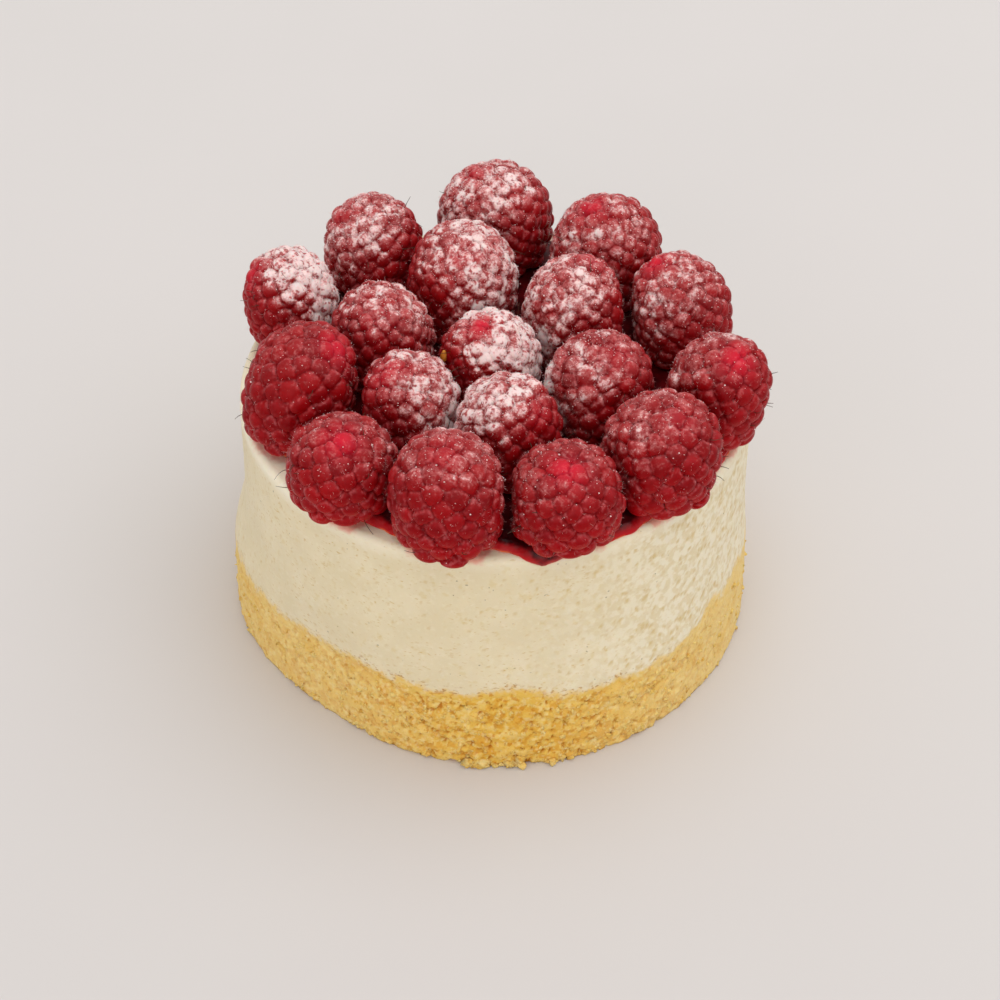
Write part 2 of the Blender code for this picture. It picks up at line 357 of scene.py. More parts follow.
def crumb_look(finish):
    """Colour of the crumb: gold, with pale crumbs and orange-brown spots, and orange-brown hollows
    that are partly richer crumb and partly painted shade.
    """
    tone = finish.mark("tone")
    busy = finish.mark("busy")
    grain = finish.noise(0.35)
    clod = finish.noise(1.0, seed=5.0)
    spot = finish.noise(0.95, seed=13.0)
    cloud = finish.noise(4.0, 1.0)
    blur = (grain - 0.5) * 0.5
    spots = (spot + blur * 0.3).step(0.56, 0.66) * (busy.clamped() * 0.5 + 0.2)
    return finish.layered(
        finish.mix((tone + blur).step(0.05, 0.5), colour(217, 160, 56), colour(227, 184, 84)),
        ((tone + blur).step(0.5, 0.95), 234, 200, 118),
        ((1 - busy).clamped() * 0.75, 236, 209, 146),
        (cloud.step(0.5, 0.72) * 0.4, 224, 174, 72),
        ((clod + blur * 0.3).step(0.52, 0.68) * 0.42, 238, 214, 156),
        (spots, 198, 130, 28),
        # hollows: orange-brown, partly richer crumb and partly painted shade
        (finish.mark("hollow").step(0.4, 1.0) * 0.8, 196, 122, 28),
    )


def side_finish(name, made_of_cream):
    """The cake's side. Cream and crumb run into each other along their line, so both pieces work
    out both looks and share them out by the height above the line, with brown cracks along it."""
    inside = soft_inside(0.2, (1.0, 0.7, 0.35), 1.3)
    finish = Finish(name, specular_ior_level=0.25 if made_of_cream else 0.18, **inside)
    wander = finish.noise(2.4, seed=7.0) - 0.5
    ragged = finish.noise(0.6, seed=8.0) - 0.5
    above = finish.mark("above") + wander * 4.5 + ragged * 1.4
    share = above.step(-0.5, 1.5)
    near = above.step(-0.2, 0.6) * above.step(2.2, 0.9)
    flat = finish.moved("MULTIPLY", (1.0, 1.0, 1.8))
    cracks = finish.noise(0.8, place=flat, seed=14.0).step(0.56, 0.64)
    cracks = cracks * finish.mark("busy").step(0.15, 0.6)
    body = finish.mix(share, crumb_look(finish), cream_look(finish))
    return finish.dress(
        base_color=finish.layered(body, (near * cracks * 0.75, 176, 128, 66)),
        roughness=0.82 - share * 0.28,
        normal=finish.bump(finish.noise(0.5), 0.06 if made_of_cream else 0.16),
    )


def jam_finish():
    """Wet, dark red jam that has a band of painted light along its edge, a vivid red against the
    shade on its lip, and turns orange where it runs thin.
    """
    inside = soft_inside(0.2, (1.0, 0.1, 0.08), 0.8)
    finish = Finish("jam_gel", specular_ior_level=0.2, **inside)
    thin = finish.mark("thin")
    mottle = finish.noise(1.8, 3.0)
    ripple = finish.noise(0.8)
    lit_edge = finish.mark("edge") + (mottle - 0.5)
    gel = finish.layered(
        finish.mix(mottle.step(0.35, 0.7), colour(50, 1, 5), colour(94, 5, 11)),
        # painted light: a vivid red band along the edge, against the shade on the jam's lip
        (lit_edge.step(0.2, 1.0) * 0.9, 180, 8, 18),
        (thin.step(0.45, 0.95) * 0.9, 186, 14, 24),
        (thin.step(0.75, 1.0) * mottle.step(0.42, 0.6) * 0.8, 232, 122, 62),
    )
    return finish.dress(
        base_color=gel,
        roughness=0.24 + mottle * 0.12,
        normal=finish.bump(ripple, 0.10),
    )


def floor_finish():
    """Pale paint, with painted shade that darkens it a little towards the front."""
    finish = Finish("floor_paint_and_shade")
    # painted shade: the floor is painted darker towards the front
    back = finish.node("ShaderNodeSeparateXYZ", {}, {0: finish.place}, 1).step(-0.25, 0.25)
    drift = finish.noise(60.0, 3.0)
    paint = finish.mix(back, colour(203, 198, 196), colour(216, 211, 209))
    paint = finish.mix(drift.step(0.3, 0.7) * 0.3, paint, colour(209, 205, 202))
    return finish.dress(base_color=paint, roughness=0.6 + drift * 0.1)


def plain_finish(name, first, second, size, roughness):
    """A finish whose colour drifts between two, in lumps of the given size in mm."""
    finish = Finish(name)
    drift = finish.noise(size, 3.0)
    return finish.dress(
        base_color=finish.mix(drift.step(0.3, 0.7), first, second),
        roughness=roughness + drift * 0.1,
        normal=finish.bump(drift, size * 0.05),
    )


def smoothstep(low, high, value):
    share = np.clip((value - low) / (high - low), 0, 1)
    return share * share * (3 - 2 * share)


def swelling(swells, angle):
    """The sum of the swells at angles in degrees."""
    total = np.zeros(np.shape(angle))
    for swell in swells:
        turn = (angle - swell.angle + 180) % 360 - 180
        total += swell.rise * np.exp(-((turn / swell.spread) ** 2))
    return total


def polar(angle, radius, height):
    """Points from angles in degrees, radii and heights in mm."""
    turn = np.radians(angle)
    return np.stack(np.broadcast_arrays(radius * np.cos(turn), radius * np.sin(turn), height), -1)


def side_radius(angle, height):
    share = 1 - smoothstep(OUTLINE_FULL_BELOW, OUTLINE_GONE_ABOVE, height)
    return CAKE_RADIUS + swelling(OUTLINE_SWELLS, angle) * share


def lumps(points, size, seed=0, octaves=1):
    """Noise of about -1 to 1 at points, with lumps of the given size in mm."""
    shift = Vector((7.3 * seed, 3.1 * seed, 5.7 * seed))
    flat = points.reshape(-1, 3) / size
    values = [noise.fractal(Vector(point) + shift, 0.8, 2.0, octaves) for point in flat]
    return np.array(values).reshape(points.shape[:-1])


def placed(name, data):
    """An object that is in the scene."""
    made = bpy.data.objects.new(name, data)
    bpy.context.scene.collection.objects.link(made)
    return made


def add_piece(name, points, faces, finish, slot, stands_for=(), **marks):
    """A mesh piece that rides on the cake. Marks are values at its points, for its material."""
    mesh = bpy.data.meshes.new(name)
    mesh.from_pydata((np.asarray(points).reshape(-1, 3) * MM).tolist(), [], faces)
    mesh.shade_smooth()
    for mark, values in marks.items():
        layer = mesh.attributes.new(mark, "FLOAT", "POINT")
        layer.data.foreach_set("value", np.asarray(values, np.float32).ravel())
    mesh.materials.append(finish)
    piece = placed(name, mesh)
    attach(piece, "root")
    if stands_for:
        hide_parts(*stands_for)


def ring_faces(rows, columns):
    """Faces that join rows of points round the cake, lowest row first, with a cap at both ends."""
    lower = np.arange(rows - 1)[:, None] * columns + np.arange(columns)
    beside = np.roll(lower, -1, axis=1)
    quads = np.stack([lower, beside, beside + columns, lower + columns], -1).reshape(-1, 4)
    last = (rows - 1) * columns
    return quads.tolist() + [list(range(columns))[::-1], list(range(last, last + columns))]


def ball_of(subdivisions):
    """Points and triangles of a ball with a radius of 1."""
    bm = bmesh.new()
    bmesh.ops.create_icosphere(bm, subdivisions=subdivisions, radius=1)
    points = np.array([vert.co[:] for vert in bm.verts])
    triangles = np.array([[vert.index for vert in face.verts] for face in bm.faces])
    bm.free()
    return points, triangles


NO_LUMP = -9.0


def stamped(shape, pitch, stamps, draw):
    """Overlapping lumps on a grid that wraps round: the height and the tone of the highest one.

    Each stamp is a row and a column on the grid, a radius, a rise and a sink in mm, and a tone.
    Pitch is the grid's spacing in mm down its rows and along its columns."""
    height = np.full(shape, NO_LUMP)
    tone = np.zeros(shape)
    for row, column, radius, rise, sink, shade in stamps:
        reach_rows = int(radius / pitch[0]) + 1
        reach_columns = int(radius / pitch[1]) + 1
        rows = np.arange(max(int(row) - reach_rows, 0), min(int(row) + reach_rows + 1, shape[0]))
        columns = np.arange(int(column) - reach_columns, int(column) + reach_columns + 1)
        down = (rows - row)[:, None] * pitch[0]
        along = (columns - column)[None, :] * pitch[1]
        turn = np.arctan2(down, along)
        lobes = draw.integers(2, 5)
        ragged = 1 + 0.16 * np.sin(lobes * turn + draw.uniform(0, math.tau))
        share = np.hypot(down, along) / radius * ragged
        dome = rise * np.sqrt(np.clip(1 - share**2.4, 0, 1)) - sink
        dome = np.where(share < 1, dome, NO_LUMP)
        window = np.ix_(rows, columns % shape[1])
        above = dome > height[window]
        height[window] = np.where(above, dome, height[window])
        tone[window] = np.where(above, shade, tone[window])
    return height, tone


def softened(field, times):
    """The field averaged with its neighbours, wrapping round."""
    for _ in range(times):
        padded = np.pad(field, ((1, 1), (0, 0)), "edge")
        field = (padded[:-2] + padded[2:] + 2 * field) / 4
        field = (np.roll(field, 1, 1) + np.roll(field, -1, 1) + 2 * field) / 4
    return field


# The line where cream meets crumb, how far the crumb's colour climbs the cream above it, and where
# the crumb below it is coarse
SEAM_COLUMNS = 800
SEAM_ANGLES = np.arange(SEAM_COLUMNS) * 360 / SEAM_COLUMNS - 180
LINE_SWELLS = table(Swell, (5, 16, 2.4), (-24, 5, 1.4), (-90, 30, 0.8), (-168, 14, 1.3))
COARSE_SWELLS = (Swell(-88, 40, 1.0), Swell(-160, 25, 0.25), Swell(100, 62, 0.8))

# Both pieces run past that line, drawn in a little so that no gap shows, and then turn inwards
EDGE_TUCK = 0.12
EDGE_OVERLAP = 0.6
EDGE_INSIDE = 2.5


def seam_height():
    """Height of the line where cream meets crumb, all round."""
    line = polar(SEAM_ANGLES, CAKE_RADIUS, BASE_HEIGHT)
    ragged = 0.45 * lumps(line, 2.4, 5, 2) + 0.2 * lumps(line, 0.9, 6)
    return BASE_HEIGHT + swelling(BASE_SWELLS, SEAM_ANGLES) + ragged


def crumbliness(angles):
    """How coarse the base's side is: most at the front and the back, less at the left and right."""
    return np.clip(swelling(COARSE_SWELLS, angles), 0, 1)


def cream_wave(points):
    """The slow wave of the cream's side, which the crumb's top edge shares."""
    return 0.14 * lumps(points, 9.0)


# The crumb base. Each sort of crumb is a number of crumbs, their least and most radius, and the
# rise of the largest.
CRUMB_ROWS = 46
CrumbSort = namedtuple("CrumbSort", "count least most rise")
CRUMB_SORTS = table(
    CrumbSort,
    (90, 1.2, 1.8, 0.55), (2600, 0.5, 0.95, 0.5), (9000, 0.28, 0.52, 0.36),
)
CRUMB_SINK = (0.26, 0.14)
CRUMB_FOOT = 0.25
CRUMB_HOLE = -0.7
HOLLOW_SPREAD = 14
HOLLOW_DEPTH = 0.4


def make_crumb_base(finish):
    """A flat underside, a side of crumbs and hollows, and a top edge that fits under the cream."""
    draw = np.random.default_rng(11)
    top = seam_height()
    shares = np.linspace(0, 1, CRUMB_ROWS)[:, None]
    angles = np.broadcast_to(SEAM_ANGLES, (CRUMB_ROWS, SEAM_COLUMNS))
    heights = shares * top
    shell = polar(angles, CAKE_RADIUS, heights)

    pitch = (BASE_HEIGHT / CRUMB_ROWS, math.tau * CAKE_RADIUS / SEAM_COLUMNS)
    stamps = []
    for sort in CRUMB_SORTS:
        for _ in range(sort.count):
            radius = draw.uniform(sort.least, sort.most)
            row = draw.uniform(-2, CRUMB_ROWS + 2)
            column = draw.uniform(0, SEAM_COLUMNS)
            sink = draw.normal(*CRUMB_SINK)
            shade = draw.uniform() * (1.0 if radius < 0.6 else 0.85)
            stamps.append((row, column, radius, sort.rise * radius / sort.most, sink, shade))
    crumbs, tone = stamped((CRUMB_ROWS, SEAM_COLUMNS), pitch, stamps, draw)
    crumbs = np.maximum(crumbs, CRUMB_HOLE)

    crags = 0.5 * lumps(shell, 2.6, 0, 2)
    busy = crumbliness(angles)
    below_seam = (1 - shares) * top
    calm = smoothstep(-0.6, 1.8, below_seam)
    relief = (crags + crumbs) * (0.15 + 0.65 * busy) * calm + 0.06 * lumps(shell, 0.7, 2)
    radius = side_radius(angles, heights) + relief + cream_wave(shell)
    radius -= CRUMB_FOOT * (1 - smoothstep(0, 0.8, heights))
    # how far each point lies under the smoothed side: the hollows, whose colour is partly painted
    # shade
    depth = softened(relief, HOLLOW_SPREAD) - relief
    hollow = np.clip(depth / HOLLOW_DEPTH, 0, 1) * (0.3 + 0.7 * busy)

    tucked = polar(SEAM_ANGLES, radius[-1] - EDGE_TUCK, top + EDGE_OVERLAP)
    inner = polar(SEAM_ANGLES, radius[-1] - EDGE_INSIDE, top)
    points = np.concatenate([polar(angles, radius, heights), tucked[None], inner[None]])
    edge = np.zeros((2, SEAM_COLUMNS))
    climb = swelling(LINE_SWELLS, SEAM_ANGLES)
    add_piece(
        "crumb_crust",
        points,
        ring_faces(CRUMB_ROWS + 2, SEAM_COLUMNS),
        finish,
        "crumb",
        ["crumb_base"],
        tone=np.concatenate([tone, edge]),
        hollow=np.concatenate([hollow, edge]),
        above=np.concatenate([-below_seam - climb, edge + EDGE_OVERLAP - climb]),
        busy=np.concatenate([busy, edge + busy[-1]]),
    )
    return points[:CRUMB_ROWS]


# Crumbs that stick out of the base, and clumps of them at its foot: an angle in degrees, a spread
# in mm, a number of crumbs and their size in mm
STUCK_CRUMBS = 560
STUCK_TURNS = (-88, 60)
DEGREES_ROUND = 57
FLOOR_CLEARANCE = 0.02
Clump = namedtuple("Clump", "angle spread count size")
CLUMPS = (Clump(-94, 0.8, 16, 0.75), Clump(-86, 1.1, 14, 0.6), Clump(-75, 1.0, 8, 0.5))


def crust_place(crust, row, angle):
    """The point of the base's side in a row, at an angle in degrees."""
    return crust[row, int((angle + 180) % 360 / 360 * SEAM_COLUMNS) % SEAM_COLUMNS]


def make_stuck_crumbs(finish, crust):
    """Small angular crumbs, each half sunk in the base's side."""
    draw = np.random.default_rng(12)
    ball, faces = ball_of(2)
    spots = []
    for _ in range(STUCK_CRUMBS):
        row = min(int(draw.uniform(0, 1) ** 1.2 * (CRUMB_ROWS - 5)) + 1, CRUMB_ROWS - 5)
        place = crust_place(crust, row, draw.normal(*STUCK_TURNS))
        spots.append((place, draw.uniform(0.2, 0.5), -0.45))
    for clump in CLUMPS:
        for _ in range(clump.count):
            angle = clump.angle + draw.normal(0, clump.spread) / CAKE_RADIUS * DEGREES_ROUND
            place = crust_place(crust, 0, angle) + (0, 0, abs(draw.normal(0, clump.spread)))
            spots.append((place, clump.size * draw.uniform(0.6, 1.2), draw.uniform(0, 1.2)))

    points, triangles, tones = [], [], []
    for index, (place, size, out) in enumerate(spots):
        outward = np.array([place[0], place[1], 0]) / np.hypot(place[0], place[1])
        shape = ball * size * draw.uniform(0.65, 1.2, 3)
        shape += shape * 0.28 * draw.standard_normal((len(ball), 1))
        middle = place + outward * size * out
        middle[2] = max(middle[2], size * 0.8)
        lump = shape + middle
        lump[:, 2] = np.maximum(lump[:, 2], FLOOR_CLEARANCE)
        points.append(lump)
        triangles.append(faces + index * len(ball))
        tones.append(np.full(len(ball), draw.uniform(0.2, 1.0)))
    tones = np.concatenate(tones)
    add_piece(
        "stuck_crumbs",
        np.concatenate(points),
        np.concatenate(triangles).tolist(),
        finish,
        "crumb",
        tone=tones,
        hollow=tones * 0,
        above=tones * 0 - BASE_HEIGHT,
        busy=tones * 0 + 0.7,
    )


# The jam's edge, which stains the cream beside it
JAM_COLUMNS = 480
JAM_ANGLES = np.arange(JAM_COLUMNS) * 360 / JAM_COLUMNS - 180
JAM_RUNS = (Swell(-81, 8, 1.3), Swell(-63, 10, 0.5), Swell(-97, 8, 0.4))
STAIN_INSIDE = 1.0


def jam_reach():
    """How far out the jam runs at its angles, in mm along the cream."""
    line = polar(JAM_ANGLES, JAM_REACH, CREAM_TOP)
    reach = JAM_REACH + swelling(JAM_SWELLS, JAM_ANGLES) + swelling(JAM_RUNS, JAM_ANGLES)
    return reach + 0.35 * lumps(line, 3.0, 1, 2) + 0.15 * lumps(line, 1.0, 2)


def near_jam(places, fade):
    """1 at the jam's edge and less with every mm outside it."""
    out = np.hypot(places[..., 0], places[..., 1]) + (CREAM_TOP - places[..., 2]) * 0.7
    angle = np.degrees(np.arctan2(places[..., 1], places[..., 0]))
    edge = np.interp(angle, JAM_ANGLES, jam_reach(), period=360)
    return np.exp(-np.maximum(out - edge, 0) / fade)


def near_berries(places, fade):
    """1 under a berry's foot and less with every mm outside it or down the cream's side."""
    near = np.zeros(places.shape[:-1])
    below = np.maximum(CREAM_TOP - 0.4 - places[..., 2], 0) * 0.7
    for berry in BERRIES:
        seat = polar(berry.angle, berry.reach, 0)
        away = np.hypot(places[..., 0] - seat[0], places[..., 1] - seat[1])
        away = away - OPEN_END * berry.width + STAIN_INSIDE
        near = np.maximum(near, np.exp(-np.hypot(np.maximum(away, 0), below) / fade))
    return near


# The cream. Painted light makes it paler near its top, all round and more where the swells say.
CREAM_ROWS = 84
SHOULDER_ROWS = 7
TOP_RINGS = (2.0, 3.2, 4.8, 7.0)
UNEVEN_ROWS = 10
STAINED_ROWS = 24
# how fast the pink under the berries fades, in mm: juice, and a painted red glow
BERRY_STAIN_AND_GLOW = 0.8
JAM_STAIN = 0.35
PORES = 1700
PORE_DEPTH = 0.16
PALE_BELOW_TOP = (3.5, 0.6)
PALE_ALL_ROUND = 0.35
PALE_SWELLS = (Swell(-150, 38, 0.65), Swell(-20, 30, 0.3))


def make_cream(finish):
    """The cream from the seam to its rounded shoulder and flat top, with pores in its side."""
    draw = np.random.default_rng(21)
    foot = seam_height()
    start = CREAM_TOP - SHOULDER
    shares = np.linspace(0, 1, CREAM_ROWS)[:, None]
    angles = np.broadcast_to(SEAM_ANGLES, (CREAM_ROWS, SEAM_COLUMNS))
    heights = foot + (start - foot) * shares
    shell = polar(angles, CAKE_RADIUS, heights)

    rough = smoothstep(-92, -42, angles) * (1 - 0.4 * smoothstep(0, 40, angles))
    rough *= 1 - smoothstep(120, 165, angles)
    pitch = ((start - BASE_HEIGHT) / CREAM_ROWS, math.tau * CAKE_RADIUS / SEAM_COLUMNS)
    stamps = []
    while len(stamps) < PORES:
        row = draw.uniform(0, CREAM_ROWS - 3)
        column = draw.uniform(0, SEAM_COLUMNS)
        here = rough[int(row), int(column)]
        if draw.uniform() > 0.35 + 0.65 * here:
            continue
        radius = draw.uniform(0.2, 0.38 + 0.2 * here)
        stamps.append((row, column, radius, radius * 0.6, radius * 0.2, 1.0))
    pits, _ = stamped((CREAM_ROWS, SEAM_COLUMNS), pitch, stamps, draw)
    pits = np.maximum(pits, 0)

    relief = (0.04 + 0.03 * rough) * lumps(shell, 1.3, 3, 2) - pits * (0.4 - 0.15 * rough)
    relief *= smoothstep(0, 0.06, 1 - shares)
    radius = side_radius(angles, heights) + cream_wave(shell) + relief
    inner = polar(SEAM_ANGLES, radius[0] - EDGE_INSIDE, foot)
    tucked = polar(SEAM_ANGLES, radius[0] - EDGE_TUCK, foot - EDGE_OVERLAP)
    rows = [inner[None], tucked[None], polar(angles, radius, heights)]
    for row in range(1, SHOULDER_ROWS + 1):
        turn = math.pi / 2 * row / SHOULDER_ROWS
        drawn_in = SHOULDER * (1 - math.cos(turn))
        ring = polar(SEAM_ANGLES, radius[-1] - drawn_in, start + SHOULDER * math.sin(turn))
        rows.append(ring[None])
    for drawn_in in TOP_RINGS:
        rows.append(polar(SEAM_ANGLES, radius[-1] - drawn_in, CREAM_TOP)[None])
    points = np.concatenate(rows)
    uneven = points[-UNEVEN_ROWS:]
    uneven[..., 2] += 0.05 * lumps(uneven, 2.5, 8)

    spare = np.zeros((len(points) - CREAM_ROWS - 2, SEAM_COLUMNS))
    upper = points[-STAINED_ROWS:]
    # pink near the jam and the berries: juice, and under the berries also a painted red glow
    stain = np.maximum(near_berries(upper, BERRY_STAIN_AND_GLOW), near_jam(upper, JAM_STAIN))
    stained = np.zeros(points.shape[:2])
    stained[-STAINED_ROWS:] = stain
    # painted light: how much paler the cream is painted near its top
    pale = smoothstep(*(CREAM_TOP - below for below in PALE_BELOW_TOP), points[..., 2])
    climb = swelling(LINE_SWELLS, SEAM_ANGLES)
    above_seam = heights - foot - climb
    add_piece(
        "cream_body",
        points,
        ring_faces(len(points), SEAM_COLUMNS),
        finish,
        "cream",
        ["cream_layer"],
        rough=np.concatenate([rough[:2], rough, spare + rough[:1] * 0.3]),
        pore=np.concatenate([spare[:2], np.clip(pits / PORE_DEPTH, 0, 1), spare]),
        above=np.concatenate([spare[:2] - EDGE_OVERLAP - climb, above_seam, spare + CREAM_TOP]),
        high=pale * (PALE_ALL_ROUND + swelling(PALE_SWELLS, SEAM_ANGLES)),
        stained=stained,
        tone=np.full(points.shape[:2], 0.5),
        busy=np.broadcast_to(crumbliness(SEAM_ANGLES), points.shape[:2]),
    )


# The jam, in mm: how wide its lip and its edge of painted light are, and how deep it is sunk in the
# cream
JAM_THICKNESS = 1.25
JAM_LIP = 1.2
JAM_LIT_EDGE = 1.1
JAM_CLIMB = 0.55
JAM_SINK = 0.04
JAM_UNDER = 5
JAM_OVER = 48


def on_cream(run):
    """Radius, height and outward slope of the cream's top, a run in mm out from its middle."""
    bend = np.clip((run - (CAKE_RADIUS - SHOULDER)) / SHOULDER, 0, math.pi / 2)
    past = np.maximum(run - (CAKE_RADIUS - SHOULDER) - SHOULDER * math.pi / 2, 0)
    radius = np.minimum(run, CAKE_RADIUS - SHOULDER) + SHOULDER * np.sin(bend)
    height = CREAM_TOP - SHOULDER * (1 - np.cos(bend)) - past
    return radius, height, bend


def make_jam(finish):
    """Jam that hugs the cream's shoulder, ends in a rounded lip and climbs a little at berries."""
    reach = jam_reach()
    rows, thin, edge = [], [], []
    for drawn_in in np.linspace(4, 0, JAM_UNDER):
        radius, height, bend = on_cream(reach - drawn_in)
        sunk = height - JAM_SINK * np.cos(bend)
        rows.append(polar(JAM_ANGLES, radius - JAM_SINK * np.sin(bend), sunk))
        thin.append(np.ones(JAM_COLUMNS))
        edge.append(np.ones(JAM_COLUMNS))
    for share in (1 - np.linspace(0, 1, JAM_OVER) ** 2.2)[1:-1]:
        run = reach * share
        lip = np.clip((reach - run) / JAM_LIP, 0, 1)
        depth = JAM_THICKNESS * np.sqrt(np.clip(1 - (1 - lip) ** 2, 0, 1)) * (0.35 + 0.65 * lip)
        radius, height, bend = on_cream(run)
        place = polar(JAM_ANGLES, radius, height)
        depth += 0.10 * lumps(place, 4.0, 3) * lip
        depth += JAM_CLIMB * near_berries(place, 1.0) * lip
        out = radius + depth * np.sin(bend)
        rows.append(polar(JAM_ANGLES, out, height + depth * np.cos(bend)))
        thin.append(1 - np.clip(depth / JAM_THICKNESS, 0, 1))
        # painted light: where the band along the jam's edge is painted vivid red
        edge.append(np.exp(-(((reach - run) / JAM_LIT_EDGE) ** 2)))
    add_piece(
        "jam_glaze",
        np.stack(rows),
        ring_faces(len(rows), JAM_COLUMNS),
        finish,
        "jam",
        ["jam_layer"],
        thin=np.stack(thin),
        edge=np.stack(edge),
    )


# A raspberry's skin, with the subdivisions of its ball and the rings of its underside
BERRY_BALL = 6
UNDER_RINGS = 7
UNDER_SHARE = 0.2
DOME = 1.4
DOME_SPREAD = 0.68
LOWEST_DOME = 0.3
FURROW_DEPTH = 0.12
FURROW_WIDTH = 0.25
CREST_RISE = 0.3
FOOT_ROUND = 1.6
BERRY_CLEARANCE = 0.32
SOFT_FROM = 0.82
FURROW_PULL = 0.14
TIP_LIGHT_REACH = 2.7
DRIFT_COVER = 0.8


def thimble(share):
    """A berry's radius at shares of its height, as a share of its half-width."""
    above = np.sqrt(np.clip(1 - np.clip((share - BELLY) / (1 - BELLY), 0, 1) ** TIP_POWER, 0, 1))
    below = 1 - (1 - OPEN_END) * np.clip((BELLY - share) / BELLY, 0, 1) ** 2
    return np.where(share > BELLY, above, below)


def axis_point(berry, height):
    """Points on the berry's leaning axis, at heights in mm above its seat."""
    sway = height * math.tan(math.radians(berry.lean))
    seat = polar(berry.angle, berry.reach, BERRY_SEAT)
    return seat + polar(berry.towards, sway, height)


def drupelet_places(berry, size, draw):
    """Share of height and turn of every drupelet of a size in mm, on a golden-angle spiral."""
    shares = np.linspace(0, 1, 200)
    radii = thimble(shares) * berry.width
    slopes = np.hypot(np.diff(radii), np.diff(shares) * berry.height)
    belts = math.tau * (radii[1:] + radii[:-1]) / 2 * slopes
    area = np.concatenate([[0], np.cumsum(belts)])
    count = round(area[-1] / (size**2 * math.sqrt(3) / 2))
    places = []
    for index in range(count):
        reached = (index + 0.5) / count * area[-1]
        wobble = DRUPELET_JITTER * draw.standard_normal(2)
        share = np.interp(reached, area, shares) + wobble[0] * size / berry.height / 2
        radius = max(float(thimble(np.clip(share, 0, 1))) * berry.width, size)
        turn = index * GOLDEN_ANGLE + wobble[1] * size / radius / 2
        places.append((np.clip(share, 0.02, 0.985), turn))
    return np.array(places)


def berry_profile(berry):
    """Radius and height down the berry's outline, from the tip to the middle of its underside, with
    the share of the surface that is passed at each point."""
    shares = 1 - np.linspace(0, 1, 140) ** 1.6 * (1 - FOOT_ROUND / berry.height)
    radii = thimble(shares) * berry.width
    heights = shares * berry.height
    turns = np.linspace(0, math.pi / 2, 12)[1:]
    foot = radii[-1] - FOOT_ROUND * (1 - np.cos(turns))
    radii = np.concatenate([radii, foot, np.linspace(foot[-1], 0, UNDER_RINGS + 1)[1:]])
    heights = np.concatenate([heights, FOOT_ROUND * (1 - np.sin(turns)), np.zeros(UNDER_RINGS)])
    belts = (radii[1:] + radii[:-1]) / 2 * np.hypot(np.diff(radii), np.diff(heights))
    belts[-UNDER_RINGS:] *= UNDER_SHARE
    passed = np.concatenate([[0], np.cumsum(belts)])
    return radii, heights, passed / passed[-1]


def walls_round(index):
    """The upright planes between a berry and its neighbours, as a normal and a distance."""
    own = BERRIES[index]
    centre = axis_point(own, BELLY * own.height)
    walls = []
    for other_index, other in enumerate(BERRIES):
        across = axis_point(other, BELLY * other.height) - centre
        across[2] = 0
        length = np.linalg.norm(across)
        if other_index == index or length > 3 * own.width:
            continue
        shared = (length + (own.width**2 - other.width**2) / length) / 2
        normal = across / length
        walls.append((normal, normal @ centre + shared - BERRY_CLEARANCE))
    return walls


def kept_clear(walls, axis, out):
    """Points a way out from the axis, pressed softly where a wall is near."""
    reach = np.linalg.norm(out, axis=1)
    room = np.full(len(out), 99.0)
    for normal, distance in walls:
        towards = out @ normal / np.maximum(reach, 1e-6)
        space = (distance - axis @ normal) / np.where(towards > 0.05, towards, 1e-3)
        room = np.where(towards > 0.05, np.minimum(room, space), room)
    soft = room * SOFT_FROM
    rest = room - soft
    pressed = soft + rest * (1 - np.exp(-np.maximum(reach - soft, 0) / rest))
    kept = np.where(reach > soft, pressed, reach)
    return axis + out * (kept / np.maximum(reach, 1e-6))[:, None]


def face_normals(points, triangles):
    """The normal of every triangle, as long as twice its area."""
    corners = points[triangles]
    return np.cross(corners[:, 1] - corners[:, 0], corners[:, 2] - corners[:, 0])


def normals_of(points, triangles):
    """The unit normal at every point of a mesh."""
    faces = face_normals(points, triangles)
    normals = np.zeros_like(points)
    for corner in range(3):
        np.add.at(normals, triangles[:, corner], faces)
    return normals / np.linalg.norm(normals, axis=1)[:, None]


def patch_at(middle, points, reach):
    """1 at a place and less with the distance from it, next to nothing at twice the reach."""
    return np.exp(-((np.linalg.norm(points - middle, axis=1) / reach) ** 2))


